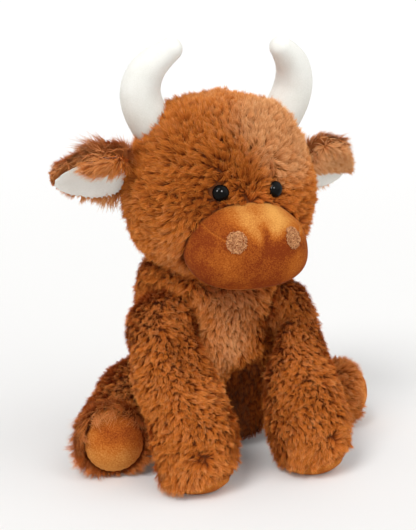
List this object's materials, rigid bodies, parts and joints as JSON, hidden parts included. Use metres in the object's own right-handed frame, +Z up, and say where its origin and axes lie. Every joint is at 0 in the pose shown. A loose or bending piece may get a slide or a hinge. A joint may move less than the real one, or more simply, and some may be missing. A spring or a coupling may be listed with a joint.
{
  "type": "plush cow",
  "caption": "Sitting stuffed cow with sewn limbs that give at the seams, curved velour horns, folded ears, a padded velour muzzle and safety eyes",
  "frame": {"origin": "middle of the object's box in plan, on the floor that the cow sits on", "axes": "+Z up; the cow faces -Y; its left side is +X"},
  "size_m": [0.303, 0.2178, 0.3661],
  "materials": {
    "fur_cloth": "long ginger pile, combed, with golden tips",
    "tan_velour": "short golden tan velour",
    "pale_velour": "short off-white velour",
    "nose_thread": "dense satin stitch, slightly fuzzy",
    "filling_fibre": "loose white fibre, hidden",
    "pellet_cloth": "plain woven inner bag, hidden",
    "eye_gloss": "polished black",
    "washer_plastic": "moulded, hidden"
  },
  "bodies": {
    "torso": {"torso_skin": "fur_cloth", "torso_filling": "filling_fibre", "seat_pellet_bag": "pellet_cloth"},
    "neck": {"neck_filling": "filling_fibre"},
    "tail": {"tail": "fur_cloth", "tail_tuft": "fur_cloth"},
    "head": {"head_skin": "fur_cloth", "head_filling": "filling_fibre", "eye_left": "eye_gloss", "eye_washer_left": "washer_plastic", "eye_right": "eye_gloss", "eye_washer_right": "washer_plastic", "muzzle_panel": "tan_velour", "muzzle_filling": "filling_fibre", "nostril_left": "nose_thread", "nostril_right": "nose_thread", "horn_skin_left": "pale_velour", "horn_filling_left": "filling_fibre", "horn_skin_right": "pale_velour", "horn_filling_right": "filling_fibre"},
    "ear_left": {"ear_back_left": "fur_cloth", "ear_lining_left": "pale_velour"},
    "front_leg_left": {"front_leg_skin_left": "fur_cloth", "front_leg_filling_left": "filling_fibre", "front_hoof_pad_left": "tan_velour"},
    "hind_leg_left": {"hind_leg_skin_left": "fur_cloth", "hind_leg_filling_left": "filling_fibre", "hind_foot_pad_left": "tan_velour"},
    "ear_right": {"ear_back_right": "fur_cloth", "ear_lining_right": "pale_velour"},
    "front_leg_right": {"front_leg_skin_right": "fur_cloth", "front_leg_filling_right": "filling_fibre", "front_hoof_pad_right": "tan_velour"},
    "hind_leg_right": {"hind_leg_skin_right": "fur_cloth", "hind_leg_filling_right": "filling_fibre", "hind_foot_pad_right": "tan_velour"}
  },
  "joints": [
    {"name": "head_turn", "type": "hinge", "parent": "torso", "child": "neck", "pos_m": [-0.004, 0.00493, 0.23776], "axis": [0, 0, 1], "range_deg": [-20, 20], "stiffness_Nm_per_rad": 1.2},
    {"name": "head_nod", "type": "hinge", "parent": "neck", "child": "head", "pos_m": [-0.004, 0.00493, 0.23776], "axis": [1, 0, 0], "range_deg": [-12, 2], "stiffness_Nm_per_rad": 1.2},
    {"name": "ear_flap_left", "type": "hinge", "parent": "head", "child": "ear_left", "pos_m": [0.07997, 0.00493, 0.26667], "axis": [0.421, -0.5348, 0.7326], "range_deg": [-15, 15], "stiffness_Nm_per_rad": 0.05},
    {"name": "ear_flap_right", "type": "hinge", "parent": "head", "child": "ear_right", "pos_m": [-0.08796, 0.00493, 0.26667], "axis": [-0.421, -0.5348, 0.7326], "range_deg": [-15, 15], "stiffness_Nm_per_rad": 0.05},
    {"name": "front_leg_swing_left", "type": "hinge", "parent": "torso", "child": "front_leg_left", "pos_m": [0.05, -0.00707, 0.126], "axis": [-1, 0, 0], "range_deg": [0, 20], "stiffness_Nm_per_rad": 0.8},
    {"name": "front_leg_swing_right", "type": "hinge", "parent": "torso", "child": "front_leg_right", "pos_m": [-0.058, -0.00707, 0.126], "axis": [-1, 0, 0], "range_deg": [0, 20], "stiffness_Nm_per_rad": 0.8},
    {"name": "hind_leg_splay_left", "type": "hinge", "parent": "torso", "child": "hind_leg_left", "pos_m": [0.064, 0.03293, 0.047], "axis": [0, 0, 1], "range_deg": [-10, 8], "stiffness_Nm_per_rad": 0.8},
    {"name": "hind_leg_splay_right", "type": "hinge", "parent": "torso", "child": "hind_leg_right", "pos_m": [-0.072, 0.03293, 0.047], "axis": [0, 0, -1], "range_deg": [0, 20], "stiffness_Nm_per_rad": 0.8},
    {"name": "tail_swing", "type": "hinge", "parent": "torso", "child": "tail", "pos_m": [-0.004, 0.07493, 0.072], "axis": [0, 1, 0], "range_deg": [-30, 30], "stiffness_Nm_per_rad": 0.02}
  ]
}
